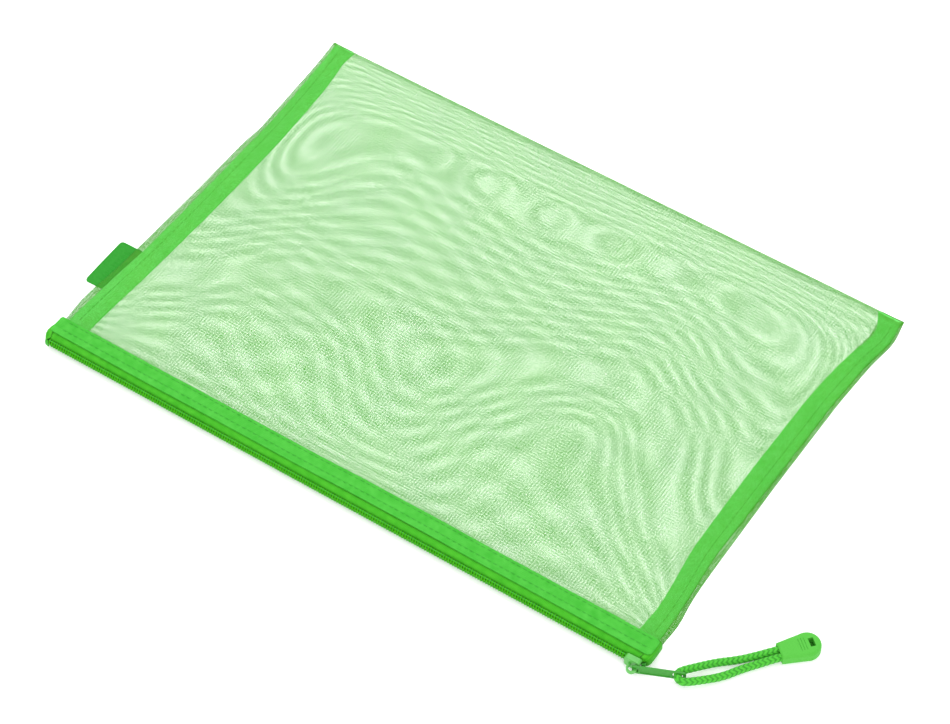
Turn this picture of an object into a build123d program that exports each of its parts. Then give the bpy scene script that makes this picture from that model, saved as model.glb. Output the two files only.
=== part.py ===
from build123d import *
import math
import os

# Zipped mesh document wallet lying flat. Millimetres. X runs along the zip, Y from the zip to
# the back fold, Z up from the table. The origin is the middle of the underside.

# Cloth and tapes
wallet_width = 335.0
wallet_depth = 240.0
mesh_thick = 0.4
ribbon_thick = 0.5
ribbon_width = 10.0
zip_tape_thick = 0.6
binding_thick = 0.5
binding_width = 11.0

# Shape of the bag
mouth_clear = 5.5
side_edge_height = 2.6
side_slope_run = 26.0
fold_height = 2.6
fold_slope_run = 36.0
mouth_zone = 20.0
mouth_taper = 36.0
seam_margin = 4.0
end_overhang = 1.0

# Zip chain
coil_depth = 2.0
coil_half = 2.2
coil_spine = 0.9
coil_pitch = 1.4
coil_tooth = 0.55
tooth_past_centre = 0.5
tooth_parted = 0.95
core_dia = 0.6
core_play = 0.05
tape_edge = 0.9
tape_show = 2.4
tape_under_ribbon = 9.5
tack_length = 1.4
run_clear = 0.3

# Stitches
stitch_length = 2.2
stitch_pitch = 3.2
stitch_width = 0.4
stitch_height = 0.2
ribbon_rows = (1.6, 6.6)
binding_row = 6.7

# Side label
label_length = 30.0
label_out = 10.5
label_in = 12.0
label_thick = 0.8
label_corner = 2.0
label_from_front = 58.0
label_fit = 0.1

# Slider, bail and pull tab
slider_length = 8.0
slider_rear_half = 2.9
slider_shoulder_half = 3.4
slider_plate = 0.8
slider_inner_plate = 0.7
slider_inner_half = 2.4
slider_corner = 1.2
slider_edge_round = 0.25
divider_half = 0.6
bail_radius = 2.0
bail_thick = 0.9
bail_width = 1.6
bail_offset = 1.2
bail_stand = 2.0
pull_angle = 24.0
pull_thick = 1.0
pull_half = 2.5
pull_bar = 24.0
pull_bar_half = 0.7
pull_corner = 1.0
pull_eye_clear = 0.35
cord_eye_clear = 0.1
pull_recess = 0.2

# Cord and cord end
cord_dia = 3.8
cord_loop_radius = 3.1
cord_run = 44.7
cord_heading = 50.0
cord_gap = 0.2
cord_end_heading = 50.0
cord_end_length = 19.8
cord_end_mouth_half = 4.6
cord_end_wide_half = 6.5
cord_end_thick = 6.0
cord_end_round = 1.5
socket_depth = 6.0
socket_fit = 0.15
window_length = 4.6
window_width = 2.4
window_from_tip = 4.4
window_depth = 4.4
groove_width = 0.35
groove_depth = 0.25
groove_pitch = 1.3
groove_count = 3

# Levels above the table, from the lower ribbon to the upper ribbon
lower_mesh_z = ribbon_thick
lower_tape_z = lower_mesh_z + mesh_thick
lower_inside_z = lower_tape_z + zip_tape_thick
upper_inside_z = lower_inside_z + mouth_clear
upper_mesh_z = upper_inside_z + zip_tape_thick
roof_z = upper_mesh_z + mesh_thick
chain_z = (lower_inside_z + upper_inside_z) / 2

# Places from the front to the back
front_y = -wallet_depth / 2
back_y = wallet_depth / 2
tape_y = front_y + coil_depth
tape_back_y = tape_y + zip_tape_thick
ribbon_y = tape_back_y + tape_show
ribbon_back_y = ribbon_y + ribbon_width
tape_end_y = ribbon_y + tape_under_ribbon
step_y = ribbon_back_y + 0.2
step_end_y = step_y + 1.0
half_width = wallet_width / 2
tape_half = half_width + end_overhang
chain_half = tape_half - tack_length - run_clear

os.makedirs("parts", exist_ok=True)


def block(x0, x1, y0, y1, z0, z1):
    corner = (Align.MIN, Align.MIN, Align.MIN)
    return Pos(x0, y0, z0) * Box(x1 - x0, y1 - y0, z1 - z0, align=corner)


def polygon(points):
    return Face(Wire.make_polygon([Vector(*p) for p in points], close=True))


def front_plane(x, y, z):
    return Plane(origin=(x, y, z), x_dir=(1, 0, 0), z_dir=(0, -1, 0))


def save(shape, node):
    export_step(shape, f"parts/{node}.step")
    return shape


# Mesh sleeve: one sheet folded at the back, closed at both sides, open at the zip


def across(y, inset, edge_z):
    edge = half_width - inset
    top = half_width - side_slope_run
    roof = roof_z - inset
    points = [(-edge, inset), (edge, inset), (edge, edge_z), (top, roof), (-top, roof), (-edge, edge_z)]
    return polygon([(x, y, z) for x, z in points])


def bag(inset, start_y):
    tall = roof_z - inset
    low = side_edge_height - inset
    taper_y = front_y + mouth_zone
    full_y = taper_y + mouth_taper
    front = Solid.extrude(across(start_y, inset, tall), Vector(0, taper_y - start_y, 0))
    wires = [across(taper_y, inset, tall).outer_wire(), across(full_y, inset, low).outer_wire()]
    middle = Solid.make_loft(wires, True)
    rear = Solid.extrude(across(full_y, inset, low), Vector(0, back_y - full_y, 0))
    radius = fold_height / 2
    fold_y = back_y - radius
    corners = [
        (0, fold_y, fold_height - inset),
        (0, back_y - fold_slope_run, roof_z - inset),
        (0, start_y, roof_z - inset),
        (0, start_y, lower_mesh_z + inset),
        (0, step_y, lower_mesh_z + inset),
        (0, step_end_y, inset),
        (0, fold_y, inset),
    ]
    edges = [Edge.make_line(a, b) for a, b in zip(corners, corners[1:])]
    edges.append(Edge.make_three_point_arc(corners[-1], (0, back_y - inset, radius), corners[0]))
    side = Face(Wire(edges))
    profile = Solid.extrude(Pos(-wallet_width, 0, 0) * side, Vector(2 * wallet_width, 0, 0))
    return (front + middle + rear) & profile


binding_out = half_width - seam_margin
binding_in = binding_out - binding_width
binding_z = mesh_thick
fin_z = binding_z + binding_thick
fin_top_z = fin_z + 2 * mesh_thick
binding_top_z = fin_top_z + binding_thick
binding_front_y = step_end_y + run_clear
binding_back_y = back_y - 3.0
fin_in = binding_in + 2.0

label_y = front_y + label_from_front
label_front_y = label_y - label_length / 2
label_back_y = label_y + label_length / 2
label_tip_x = -half_width - label_out
label_root_x = -half_width + label_in

sleeve = bag(0, ribbon_y) - bag(mesh_thick, ribbon_y - 1)
for side in (-1, 1):
    x_a = side * fin_in
    x_b = side * (half_width - mesh_thick / 2)
    fin = block(min(x_a, x_b), max(x_a, x_b), binding_front_y, binding_back_y, fin_z, fin_top_z)
    sleeve = sleeve + fin
label_slot = block(
    label_tip_x,
    label_root_x + label_fit,
    label_front_y - label_fit,
    label_back_y + label_fit,
    fin_z,
    fin_z + label_thick,
)
sleeve = sleeve - label_slot
for tape_z in (lower_tape_z, upper_inside_z):
    tape_slot = block(-tape_half, tape_half, ribbon_y, tape_end_y, tape_z, tape_z + zip_tape_thick)
    sleeve = sleeve - tape_slot
save(sleeve, "mesh_sleeve")

# Side seam bindings: tape folded round the two raw edges inside each side seam
for side, name in ((-1, "left"), (1, "right")):
    x_a = side * binding_in
    x_b = side * binding_out
    gap_a = side * (binding_in + binding_thick)
    gap_b = side * (binding_out + 1)
    outside = block(min(x_a, x_b), max(x_a, x_b), binding_front_y, binding_back_y, binding_z, binding_top_z)
    gap_low, gap_high = min(gap_a, gap_b), max(gap_a, gap_b)
    inside = block(gap_low, gap_high, binding_front_y - 1, binding_back_y + 1, fin_z, fin_top_z)
    save(outside - inside, f"{name}_seam_binding")

# Mouth ribbons over the mesh edges
save(block(-tape_half, tape_half, ribbon_y, ribbon_back_y, 0, ribbon_thick), "lower_mouth_ribbon")
save(block(-tape_half, tape_half, ribbon_y, ribbon_back_y, roof_z, roof_z + ribbon_thick), "upper_mouth_ribbon")


# Zip tapes: sewn under the mesh edge, then turned to stand at the mouth
def zip_tape(flat_z, sign):
    near = flat_z if sign > 0 else flat_z + zip_tape_thick
    far = near + sign * zip_tape_thick
    edge_z = chain_z + sign * tape_edge
    points = [
        (tape_y, edge_z),
        (tape_back_y, edge_z),
        (tape_back_y, near),
        (tape_end_y, near),
        (tape_end_y, far),
        (tape_y, far),
    ]
    strip = Solid.extrude(polygon([(-tape_half, y, z) for y, z in points]), Vector(2 * tape_half, 0, 0))
    corner = [e for e in strip.edges().filter_by(Axis.X) if abs(e.center().Y - tape_y) < 0.01]
    outer = [e for e in corner if abs(e.center().Z - far) < 0.01]
    return fillet(outer, zip_tape_thick)


save(zip_tape(upper_inside_z, 1), "upper_zip_tape")
save(zip_tape(lower_tape_z, -1), "lower_zip_tape")

# Zip coils: each turn is a tooth between two teeth of the other side, parted past the slider
slider_x = chain_half - slider_length / 2
tooth_room = 2 * chain_half - coil_pitch
tooth_count = int(tooth_room / coil_pitch)
first_tooth = -chain_half + coil_pitch / 2


def coil(sign, shift):
    outer = chain_z + sign * coil_half
    inner = chain_z + sign * (coil_half - coil_spine)
    meshed = chain_z - sign * tooth_past_centre
    parted = chain_z + sign * tooth_parted
    points = [(-chain_half, inner), (-chain_half, outer), (chain_half, outer), (chain_half, inner)]
    for i in reversed(range(tooth_count)):
        x = first_tooth + i * coil_pitch + shift
        tip = parted if x > slider_x - coil_pitch else meshed
        left = x - coil_tooth / 2
        right = x + coil_tooth / 2
        points += [(right, inner), (right, tip), (left, tip), (left, inner)]
    rack = Solid.extrude(polygon([(x, front_y, z) for x, z in points]), Vector(0, coil_depth, 0))
    middle = (front_y + coil_depth / 2, chain_z + sign * (coil_half - coil_spine / 2))
    along = Plane(origin=(-chain_half, *middle), x_dir=(0, 1, 0), z_dir=(1, 0, 0))
    bore = Solid.make_cylinder(core_dia / 2 + core_play, 2 * chain_half, along)
    core = Solid.make_cylinder(core_dia / 2, 2 * chain_half, along)
    return rack - bore, core


upper_coil, upper_core = coil(1, 0)
lower_coil, lower_core = coil(-1, coil_pitch / 2)
save(upper_coil, "upper_zip_coil")
save(lower_coil, "lower_zip_coil")
save(upper_core, "upper_coil_core")
save(lower_core, "lower_coil_core")

# Thread tacks that close both ends of the chain and stop the slider
for side, name in ((-1, "left"), (1, "right")):
    x_a = side * (tape_half - tack_length)
    x_b = side * tape_half
    tack = block(min(x_a, x_b), max(x_a, x_b), front_y, tape_y, chain_z - coil_half, chain_z + coil_half)
    save(fillet(tack.faces().sort_by(Axis.Y)[0].edges(), run_clear), f"{name}_end_tack")


# Stitches: one short thread for each visible length of a seam
def stitch_row(start, end, place, z, along_x):
    count = int((end - start - stitch_length) / stitch_pitch) + 1
    spare = (end - start - stitch_length - (count - 1) * stitch_pitch) / 2
    threads = []
    for i in range(count):
        a = start + spare + i * stitch_pitch
        b = a + stitch_length
        low = place - stitch_width / 2
        high = place + stitch_width / 2
        x0, x1, y0, y1 = (a, b, low, high) if along_x else (low, high, a, b)
        threads.append(Solid.make_box(x1 - x0, y1 - y0, stitch_height, Plane((x0, y0, z))))
    return threads


row_half = half_width - seam_margin
for name, z in (("upper", roof_z + ribbon_thick), ("lower", lower_inside_z)):
    threads = []
    for row in ribbon_rows:
        threads += stitch_row(-row_half, row_half, ribbon_back_y - row, z, True)
    save(Compound(threads), f"{name}_mouth_stitches")
for side, name in ((-1, "left"), (1, "right")):
    row_x = side * (binding_in + binding_row)
    threads = stitch_row(binding_front_y, binding_back_y - seam_margin, row_x, binding_top_z, False)
    save(Compound(threads), f"{name}_seam_stitches")

# Side label: a plain soft tab caught in the left seam
label = block(label_tip_x, label_root_x, label_front_y, label_back_y, fin_z, fin_z + label_thick)
label_corners = label.edges().filter_by(Axis.Z).group_by(Axis.X)[0]
save(fillet(label_corners, label_corner), "side_label")

# Slider: two plates joined by the divider, with flanges that draw the coils together
plate_y = front_y - run_clear
inner_plate_y = tape_back_y + run_clear
flange_y = tape_y - run_clear
channel_half = coil_half + run_clear
half_slider = slider_length / 2
outline = Polyline(
    (-half_slider, -slider_rear_half),
    (half_slider, -slider_shoulder_half),
    (half_slider, slider_shoulder_half),
    (-half_slider, slider_rear_half),
    close=True,
)
plate_sketch = make_face(outline)
plate_sketch = fillet(plate_sketch.vertices(), slider_corner)
on_plate = front_plane(slider_x, plate_y, chain_z)
outer_plate = extrude(on_plate * plate_sketch, amount=slider_plate)
outer_plate = fillet(outer_plate.faces().sort_by(Axis.Y)[0].edges(), slider_edge_round)
flange_sketch = plate_sketch - Rectangle(2 * slider_length, 2 * channel_half)
flanges = extrude(on_plate * flange_sketch, amount=plate_y - flange_y)
inner_sketch = RectangleRounded(slider_length, 2 * slider_inner_half, slider_corner)
on_inner = front_plane(slider_x, inner_plate_y, chain_z)
inner_plate = extrude(on_inner * inner_sketch, amount=-slider_inner_plate)
wedge = Polyline(
    (0, 0),
    (half_slider * 0.5, -divider_half),
    (half_slider * 0.9, -divider_half),
    (half_slider * 0.9, divider_half),
    (half_slider * 0.5, divider_half),
    close=True,
)
divider = extrude(on_plate * make_face(wedge), amount=plate_y - inner_plate_y)
slider = outer_plate + flanges + divider + inner_plate
save(slider, "slider_body")

# Bail: a bent strap on the slider that the pull tab's eye runs round
plate_face_y = plate_y - slider_plate
pivot_x = slider_x + bail_offset
pivot_y = plate_face_y - bail_stand
bail_out = bail_radius + bail_thick / 2
bail_in = bail_radius - bail_thick / 2
arch = Circle(bail_out) - Circle(bail_in)
arch = arch - Pos(0, bail_out, 0) * Rectangle(4 * bail_out, 2 * bail_out)
for side in (-1, 1):
    arch = arch + Pos(side * bail_radius, bail_stand / 2) * Rectangle(bail_thick, bail_stand)
on_bail = Plane(origin=(pivot_x, pivot_y, chain_z - bail_width / 2))
save(extrude(on_bail * arch, amount=bail_width), "slider_bail")

# Pull tab: a flat tab on edge with an eye for the bail and an eye for the cord
turn = math.radians(pull_angle)
pull_dir = (math.cos(turn), math.sin(turn), 0)
pull_side = (math.sin(turn), -math.cos(turn), 0)
on_pull = Plane(origin=(pivot_x, pivot_y, chain_z), x_dir=pull_dir, z_dir=pull_side)
eye_in = bail_in - pull_eye_clear
eye_out = (bail_out + pull_thick / 2 * math.sin(turn)) / math.cos(turn) + pull_eye_clear
bail_eye_half = bail_width / 2 + pull_eye_clear
tab_start = eye_in - bail_thick
tab_end = pull_bar + pull_bar_half
cord_eye_out = pull_bar - pull_bar_half
cord_eye_in = pull_bar - cord_loop_radius - cord_dia / 2 - pull_eye_clear
cord_eye_half = cord_dia / 2 + cord_eye_clear
tab = Pos((tab_start + tab_end) / 2, 0) * RectangleRounded(tab_end - tab_start, 2 * pull_half, pull_corner)
tab = tab - Pos((eye_in + eye_out) / 2, 0) * Rectangle(eye_out - eye_in, 2 * bail_eye_half)
cord_eye = RectangleRounded(cord_eye_out - cord_eye_in, 2 * cord_eye_half, pull_corner)
tab = tab - Pos((cord_eye_in + cord_eye_out) / 2, 0) * cord_eye
pull = extrude(on_pull * tab, amount=pull_thick / 2, both=True)
panel_in = eye_out + pull_corner
panel_out = cord_eye_in - pull_corner
panel = RectangleRounded(panel_out - panel_in, 2 * pull_half - 1.6, pull_corner * 0.6)
panel = Pos((panel_in + panel_out) / 2, 0) * panel
for face in (-1, 1):
    floor_plane = on_pull.offset(face * (pull_thick / 2 - pull_recess))
    pull = pull - extrude(floor_plane * panel, amount=face * pull_thick)
save(pull, "pull_tab")

# Cord: one length doubled through the pull tab's eye, both ends held in the cord end
bar_x = pivot_x + pull_bar * pull_dir[0]
bar_y = pivot_y + pull_bar * pull_dir[1]
head = math.radians(cord_heading)
along = (math.cos(head), math.sin(head))
aside = (-math.sin(head), math.cos(head))
mouth_x = bar_x + cord_run * along[0]
mouth_y = bar_y + cord_run * along[1]
end_head = math.radians(cord_end_heading)
end_dir = (math.cos(end_head), math.sin(end_head))
end_side = (-math.sin(end_head), math.cos(end_head))
cord_rest_z = cord_dia / 2 + 0.1
socket_z = cord_end_thick / 2
leg_half = (cord_dia + cord_gap) / 2


def leg_point(share, half, z):
    run = share * cord_run
    return (bar_x + run * along[0] + half * aside[0], bar_y + run * along[1] + half * aside[1], z)


def socket_point(depth, half):
    x = mouth_x + depth * end_dir[0] + half * end_side[0]
    y = mouth_y + depth * end_dir[1] + half * end_side[1]
    return (x, y, socket_z)


def loop_point(angle):
    reach = cord_loop_radius / math.cos(math.radians(22.5))
    back = math.radians(cord_heading + 180 + angle)
    return (bar_x + reach * math.cos(back), bar_y + reach * math.sin(back), chain_z)


route = [
    socket_point(socket_depth - 0.5, leg_half),
    socket_point(-3.0, leg_half),
    leg_point(0.78, 2.15, cord_rest_z + 0.4),
    leg_point(0.58, 2.5, cord_rest_z + 0.2),
    leg_point(0.37, 4.0, cord_rest_z + 0.3),
    leg_point(0.12, 3.6, chain_z - 0.8),
    loop_point(-67.5),
    loop_point(-22.5),
    loop_point(22.5),
    loop_point(67.5),
    leg_point(0.12, -3.6, chain_z - 0.8),
    leg_point(0.37, -4.0, cord_rest_z + 0.3),
    leg_point(0.58, -2.5, cord_rest_z + 0.2),
    leg_point(0.78, -2.15, cord_rest_z + 0.4),
    socket_point(-3.0, -leg_half),
    socket_point(socket_depth - 0.5, -leg_half),
]
radii = []
for a, b, c in zip(route, route[1:], route[2:]):
    before = Vector(*b) - Vector(*a)
    after = Vector(*c) - Vector(*b)
    bend = math.radians(before.get_angle(after))
    radii.append(0.45 * min(before.length, after.length) / math.tan(bend / 2))
print("cord radii", [round(r, 2) for r in radii])
cord_path = FilletPolyline(*route, radius=radii)
start = Plane(origin=route[0], z_dir=Vector(*route[1]) - Vector(*route[0]))
cord = sweep(start * Circle(cord_dia / 2), path=cord_path)
cord_volume = cord_path.length * math.pi * cord_dia**2 / 4
print("cord length", round(cord_path.length, 2), "volume ratio", cord.volume / cord_volume)
save(cord, "pull_cord")

# Cord end: a moulded grip with a socket for the cord and a window near its tip
on_end = Plane(origin=(mouth_x, mouth_y, 0), x_dir=(*end_dir, 0), z_dir=(0, 0, 1))
tip_x = cord_end_length - cord_end_wide_half
grip = make_face(
    Polyline(
        (0, -cord_end_mouth_half),
        (tip_x, -cord_end_wide_half),
        (tip_x, cord_end_wide_half),
        (0, cord_end_mouth_half),
        close=True,
    )
)
grip = grip + Pos(tip_x, 0) * Circle(cord_end_wide_half)
grip_body = extrude(on_end * grip, amount=cord_end_thick)
middle_z = cord_end_thick / 2
rims = grip_body.edges().filter_by(lambda e: abs(e.center().Z - middle_z) > middle_z - 0.01)
grip_body = fillet(rims, cord_end_round)
on_mouth = Plane(origin=(mouth_x, mouth_y, socket_z), x_dir=(*end_side, 0), z_dir=(*end_dir, 0))
socket = SlotOverall(2 * (leg_half + cord_dia / 2 + socket_fit), cord_dia + 2 * socket_fit)
grip_body = grip_body - extrude(on_mouth.offset(-1) * socket, amount=socket_depth + 1)
window_x = cord_end_length - window_from_tip
window = Pos(window_x, 0) * Rectangle(window_width, window_length)
window_floor = on_end.offset(cord_end_thick - window_depth)
grip_body = grip_body - extrude(window_floor * window, amount=window_depth + 1)
for i in range(groove_count):
    groove_x = window_x - window_width - (i + 0.5) * groove_pitch
    groove = Pos(groove_x, 0) * Rectangle(groove_width, window_length * 1.4)
    grip_body = grip_body - extrude(on_end.offset(cord_end_thick - groove_depth) * groove, amount=1)
save(grip_body, "cord_end")

print("pivot", round(pivot_x, 3), round(pivot_y, 3), "bar", round(bar_x, 3), round(bar_y, 3))
print("slider x", round(slider_x, 3), "travel", round(-2 * slider_x, 3), "chain z", chain_z)
print("mouth", round(mouth_x, 3), round(mouth_y, 3))
print("route", [tuple(round(v, 3) for v in p) for p in route])
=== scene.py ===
# %% [markdown]
# # A zipped mesh document wallet
# The CAD part gives every piece its place: a folded mesh sleeve, two bound side seams, two mouth
# ribbons, a coil zip and a cord pull. This lesson dresses that frame: cloth gets its folds and weave,
# the zip its wound coils and the cord its braid. It could all be modelled afresh, but a piece that
# stands in for a CAD node keeps its place on the joints, so every piece is built on the frame. Lengths
# are worked out in millimetres and turned to metres when a mesh is made.

# %% Open the frame
import math
import bpy
import numpy as np
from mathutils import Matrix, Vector


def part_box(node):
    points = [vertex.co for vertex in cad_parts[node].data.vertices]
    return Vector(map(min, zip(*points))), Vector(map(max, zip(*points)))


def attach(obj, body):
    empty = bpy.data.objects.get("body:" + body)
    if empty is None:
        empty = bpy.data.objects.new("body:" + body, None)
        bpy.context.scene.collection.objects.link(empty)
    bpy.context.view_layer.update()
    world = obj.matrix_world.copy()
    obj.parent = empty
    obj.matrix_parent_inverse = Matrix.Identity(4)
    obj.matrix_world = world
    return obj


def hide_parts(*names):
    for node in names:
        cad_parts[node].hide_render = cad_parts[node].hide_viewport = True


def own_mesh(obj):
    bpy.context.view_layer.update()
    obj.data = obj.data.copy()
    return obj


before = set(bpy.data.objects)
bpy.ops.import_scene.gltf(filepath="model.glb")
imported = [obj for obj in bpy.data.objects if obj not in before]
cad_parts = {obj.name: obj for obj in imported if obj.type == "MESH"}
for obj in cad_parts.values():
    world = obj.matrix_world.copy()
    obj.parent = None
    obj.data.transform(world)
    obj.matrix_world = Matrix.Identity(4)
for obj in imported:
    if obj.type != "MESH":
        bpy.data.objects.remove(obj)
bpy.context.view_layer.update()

MM = 0.001


def span(node):
    """Lowest and highest corner of a CAD node, in millimetres."""
    low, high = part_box(node)
    return np.array(low) / MM, np.array(high) / MM


# %% [markdown]
# ## Camera
# The photograph looks down on the wallet from the front right with a long lens. A camera could be turned
# by hand until the picture agrees. Here its angles, distance and lens were fitted to the four corners of
# the bag and both ends of the upper ribbon, because a fit can be checked.

# %% Camera
azimuth, elevation = math.radians(33.47), math.radians(51.91)
camera_distance = 1.6746
sensor_width = 36.0
focal_length_px, picture_width_px = 3500, 950
target = Vector((8.1, -13.7, 0.0)) * MM
away = Vector((
    math.sin(azimuth) * math.cos(elevation),
    -math.cos(azimuth) * math.cos(elevation),
    math.sin(elevation),
))
camera = bpy.data.objects.new("camera", bpy.data.cameras.new("camera"))
bpy.context.scene.collection.objects.link(camera)
camera.location = target + away * camera_distance
camera.rotation_mode = "QUATERNION"
camera.rotation_quaternion = (-away).to_track_quat("-Z", "Y")
camera.data.sensor_width = sensor_width
camera.data.lens = sensor_width * focal_length_px / picture_width_px
camera.data.clip_start, camera.data.clip_end = 0.05, 20.0
bpy.context.scene.camera = camera
print("camera at", [round(v, 3) for v in camera.location])

# %% [markdown]
# ## One piece of the wallet
# Each piece becomes a mesh object with a UV map, a look, a body to ride on and the CAD nodes that it
# replaces. These could be set piece by piece, but one helper can't forget any of them. The UV map is
# laid out in metres along and across the cloth, so that ribs and threads keep their real pitch.


# %% Add one piece
def add_piece(name, verts, faces, uvs, body, nodes, slot, finish):
    mesh = bpy.data.meshes.new(name)
    mesh.from_pydata((np.asarray(verts) * MM).tolist(), [], faces)
    layer = mesh.uv_layers.new(name="cloth")
    layer.data.foreach_set("uv", (np.asarray(uvs, np.float32) * MM).ravel())
    mesh.polygons.foreach_set("use_smooth", np.ones(len(mesh.polygons), bool))
    mesh.materials.append(finish)
    piece = bpy.data.objects.new(name, mesh)
    bpy.context.scene.collection.objects.link(piece)
    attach(piece, body)
    if nodes:
        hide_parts(*nodes)
    print(name, len(verts), "points")
    return piece


print("pieces replace", len(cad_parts), "CAD nodes or dress them")

# %% [markdown]
# ## Surfaces from points
# A tape, ribbon, thread or cord is one closed outline carried along a line, and the sheet is a grid of
# points. Blender's curve bevel sweeps an outline too, but it can't groove, pucker or roll it on the way,
# so the rings are worked out one by one and skinned here.


# %% Skin rings and grids
def swept(rings, along, around):
    """Skin over closed rings of points, with a cap at both ends."""
    n, m = rings.shape[:2]
    faces, uvs = [], []
    for i in range(n - 1):
        for j in range(m):
            k = (j + 1) % m
            faces.append((i * m + j, i * m + k, (i + 1) * m + k, (i + 1) * m + j))
            here, there, start, end = along[i], along[i + 1], around[j], around[j + 1]
            uvs += [(here, start), (here, end), (there, end), (there, start)]
    faces.append(tuple(reversed(range(m))))
    uvs += [(along[0], around[j]) for j in reversed(range(m))]
    faces.append(tuple((n - 1) * m + j for j in range(m)))
    uvs += [(along[-1], around[j]) for j in range(m)]
    return rings.reshape(-1, 3), faces, uvs


def grid(points, uv):
    """Open sheet over rows of points."""
    n, m = points.shape[:2]
    faces, uvs = [], []
    for i in range(n - 1):
        for j in range(m - 1):
            corners = ((i, j), (i, j + 1), (i + 1, j + 1), (i + 1, j))
            faces.append(tuple(a * m + b for a, b in corners))
            uvs += [tuple(uv[a, b]) for a, b in corners]
    return points.reshape(-1, 3), faces, uvs


def joined(parts):
    """Several surfaces as one."""
    verts, faces, uvs, start = [], [], [], 0
    for v, f, u in parts:
        verts.append(v)
        faces += [tuple(i + start for i in face) for face in f]
        uvs += u
        start += len(v)
    return np.concatenate(verts), faces, uvs


print("skins for rings, grids and groups")

# %% [markdown]
# ## Outlines and soft steps
# The cloth pieces share a few small shapes: the outline of a tape with rounded edges, the length round
# an outline, a soft step and a quarter round. Modifiers could round the finished meshes, but they would
# also move the edges that have to meet, so the roundness is in the numbers.

# %% Outline helpers
tape_edge_share = 0.3


def perimeter(outline):
    """Running length round a closed outline, back to its first point."""
    steps = np.linalg.norm(np.diff(np.vstack([outline, outline[:1]]), axis=0), axis=1)
    return np.concatenate([[0.0], np.cumsum(steps)])


def strip(line, thick):
    """Closed outline of a tape whose middle follows line, a list of points across the tape."""
    line = np.asarray(line, float)
    way = np.gradient(line, axis=0)
    way /= np.linalg.norm(way, axis=1)[:, None]
    side = np.stack([-way[:, 1], way[:, 0]], 1) * thick / 2
    last = line[-1:] + way[-1:] * thick * tape_edge_share
    first = line[:1] - way[:1] * thick * tape_edge_share
    return np.vstack([line + side, last, (line - side)[::-1], first])


def ease(t):
    """Soft step from 0 to 1."""
    t = np.clip(t, 0.0, 1.0)
    return t * t * (3 - 2 * t)


def quarter_round(t):
    """Quarter of a circle that rises from 0 to 1."""
    return np.sqrt(np.clip(1 - (1 - np.clip(t, 0, 1)) ** 2, 0, 1))


def circle(count):
    """Angles of points spaced evenly round a circle."""
    return np.arange(count) * 2 * math.pi / count


print("a soft step is", round(float(ease(0.25)), 3), "after a quarter of its way")

# %% [markdown]
# ## Looks from nodes
# A look is one Principled shader with a few texture nodes in front of it. The nodes could be wired by
# hand in the shader editor. With a short helper for each kind of node, a look below is a few lines that
# can be read and changed.


# %% Node helpers
def look(name, roughness, **sockets):
    """A new material, its node tree and its shader, with constants on the shader's own sockets."""
    made = bpy.data.materials.new(name)
    made.use_nodes = True
    shader = made.node_tree.nodes["Principled BSDF"]
    shader.inputs["Roughness"].default_value = roughness
    for socket, value in sockets.items():
        shader.inputs[socket.replace("_", " ")].default_value = value
    return made, made.node_tree, shader


def put(tree, kind, **settings):
    made = tree.nodes.new(kind)
    for key, value in settings.items():
        setattr(made, key, value)
    return made


def calc(tree, operation, *values):
    made = put(tree, "ShaderNodeMath", operation=operation)
    for i, value in enumerate(values):
        if isinstance(value, (int, float)):
            made.inputs[i].default_value = value
        else:
            tree.links.new(value, made.inputs[i])
    return made.outputs[0]


def ramp(tree, value, start, end, low, high, step="LINEAR"):
    """Goes from low to high while value goes from start to end."""
    made = put(tree, "ShaderNodeMapRange", interpolation_type=step)
    tree.links.new(value, made.inputs["Value"])
    for socket, number in (("From Min", start), ("From Max", end), ("To Min", low), ("To Max", high)):
        made.inputs[socket].default_value = number
    return made.outputs[0]


print("node helpers for looks, sums and ramps")

# %% [markdown]
# ## Patterns and paint
# Ribs and threads are waves across the UV map, so that they follow the cloth, while blotches and grain
# are noise in the piece's own space. Image files could hold them, but they would blur close up. Colours
# are written on a picture's scale of 0 to 255, and the binding goes past it, because it is seen only
# through the mesh. The studio light is brighter than 1, so the paint is that much darker than what is
# seen.

# %% Pattern and paint helpers
studio = 1.2


def cloth_uv(tree):
    place = put(tree, "ShaderNodeUVMap", uv_map="cloth")
    parts = put(tree, "ShaderNodeSeparateXYZ")
    tree.links.new(place.outputs[0], parts.inputs[0])
    return parts.outputs[0], parts.outputs[1]


def noise(tree, scale, detail=3.0):
    place = put(tree, "ShaderNodeTexCoord")
    made = put(tree, "ShaderNodeTexNoise")
    made.inputs["Scale"].default_value = scale
    made.inputs["Detail"].default_value = detail
    tree.links.new(place.outputs["Object"], made.inputs["Vector"])
    return made.outputs["Fac"]


def wave(tree, value, pitch):
    turns = calc(tree, "MULTIPLY", value, 2 * math.pi / pitch)
    return calc(tree, "MULTIPLY_ADD", calc(tree, "SINE", turns), 0.5, 0.5)


def shade(tree, shader, amount, dark, light):
    mix = put(tree, "ShaderNodeMix", data_type="RGBA")
    mix.inputs["A"].default_value = (*dark, 1)
    mix.inputs["B"].default_value = (*light, 1)
    tree.links.new(amount, mix.inputs["Factor"])
    tree.links.new(mix.outputs["Result"], shader.inputs["Base Color"])


def raise_surface(tree, shader, height, depth, strength=0.6):
    bump = put(tree, "ShaderNodeBump")
    bump.inputs["Strength"].default_value = strength
    bump.inputs["Distance"].default_value = depth
    tree.links.new(height, bump.inputs["Height"])
    tree.links.new(bump.outputs[0], shader.inputs["Normal"])


def paint(r, g, b):
    """Paint that is seen as this colour under the studio light."""
    seen = [(c / 255 / 12.92) if c <= 10 else ((c / 255 + 0.055) / 1.055) ** 2.4 for c in (r, g, b)]
    return tuple(c / studio for c in seen)


print("paint for a bright green", [round(c, 2) for c in paint(96, 214, 78)])

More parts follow.
